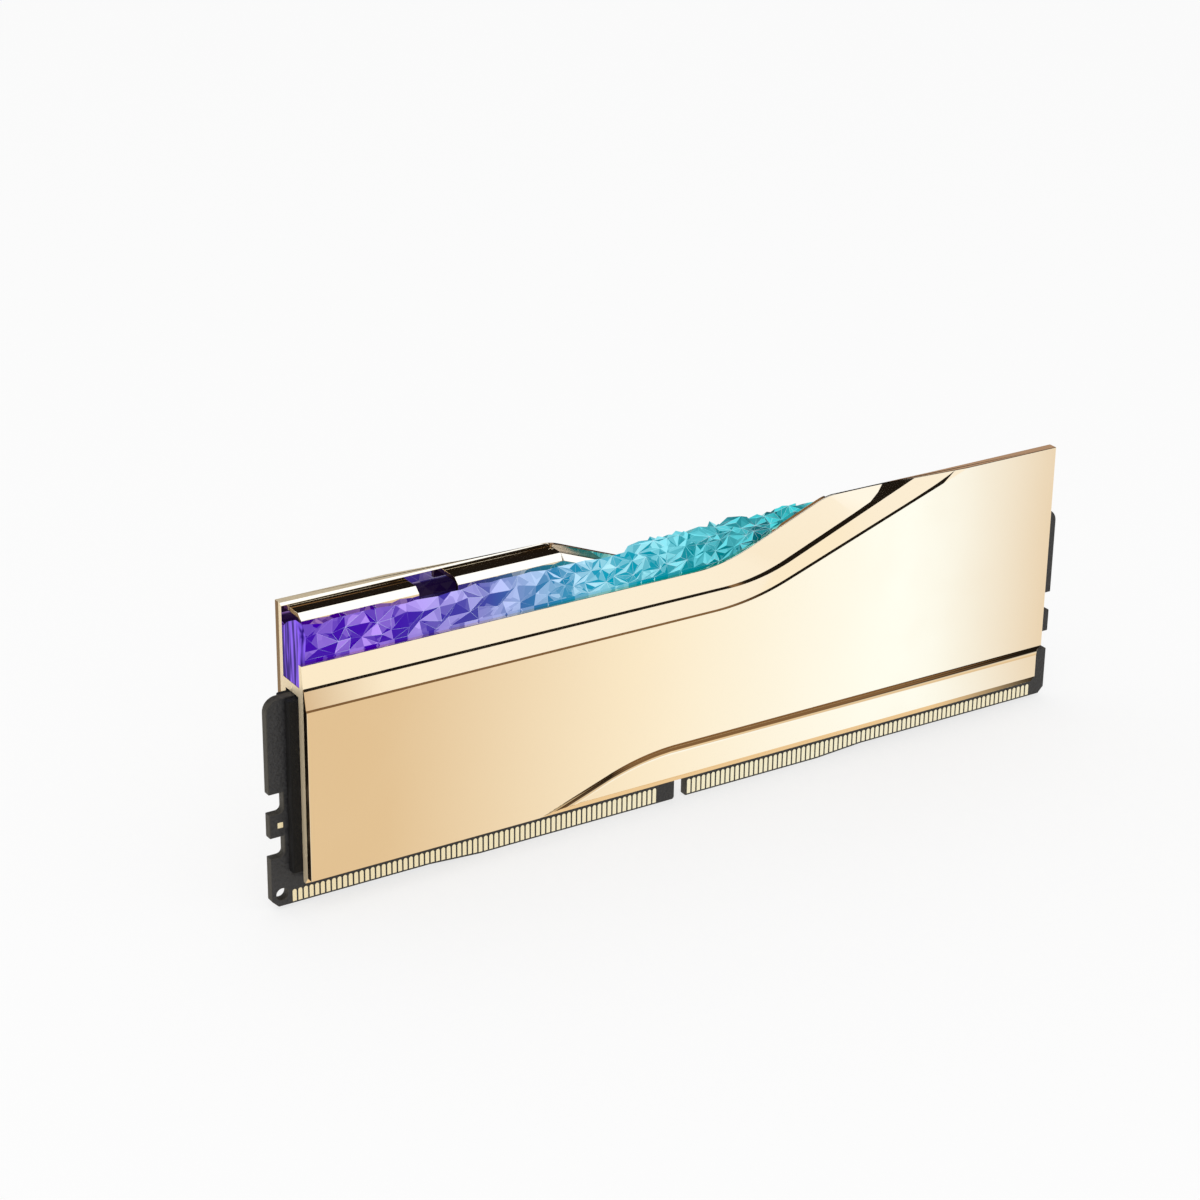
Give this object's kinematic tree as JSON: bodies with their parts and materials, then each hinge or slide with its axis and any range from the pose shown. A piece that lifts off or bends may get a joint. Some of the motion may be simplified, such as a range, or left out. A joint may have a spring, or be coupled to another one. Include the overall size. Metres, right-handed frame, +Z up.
{
  "type": "ram module",
  "caption": "Desktop memory module with mirror-polished gold heat spreaders, a faceted crystal light bar along its top edge and a keyed row of gold contacts along its bottom edge.",
  "frame": {"origin": "middle of the contact edge of the circuit board, on the board's middle plane", "axes": "+X along the board to the right as seen from the front, +Y to the rear, +Z up from the contact edge to the light bar"},
  "size_m": [0.1334, 0.0084, 0.0431],
  "materials": {
    "board": "satin black solder mask over glass-fibre laminate",
    "contact_gold": "gold plating, polished",
    "spreader_gold": "mirror-polished, pale gold",
    "crystal": "clear faceted resin lit from below, violet to cyan",
    "clear_guide": "clear, polished ends",
    "lamp": "white lamp body with a clear lens",
    "foam": "matt black foam",
    "thermal_pad": "matt grey silicone",
    "ferrite": "dark moulded ferrite",
    "ceramic_body": "tan ceramic with tinned ends",
    "ceramic_black": "black glaze with tinned ends",
    "chip_mould": "matt black mould compound"
  },
  "bodies": {
    "root": {"circuit_board": "board", "contacts_front": "contact_gold", "contacts_rear": "contact_gold", "fiducial_marks": "contact_gold", "memory_chip_1": "chip_mould", "memory_chip_2": "chip_mould", "memory_chip_3": "chip_mould", "memory_chip_4": "chip_mould", "memory_chip_5": "chip_mould", "memory_chip_6": "chip_mould", "memory_chip_7": "chip_mould", "memory_chip_8": "chip_mould", "power_chip": "chip_mould", "power_inductors": "ferrite", "bulk_capacitors": "ceramic_body", "bypass_capacitors": "ceramic_body", "resistor_arrays": "ceramic_black", "hub_chip": "chip_mould", "lamp_driver": "chip_mould", "lamps_front": "lamp", "lamps_rear": "lamp", "thermal_pad_left": "thermal_pad", "thermal_pad_right": "thermal_pad", "thermal_pad_power": "thermal_pad", "rear_pad": "thermal_pad", "foam_strips": "foam", "front_spreader": "spreader_gold", "rear_spreader": "spreader_gold", "light_guides": "clear_guide", "light_bar": "crystal", "end_clip": "spreader_gold", "middle_clip": "spreader_gold"}
  },
  "joints": []
}
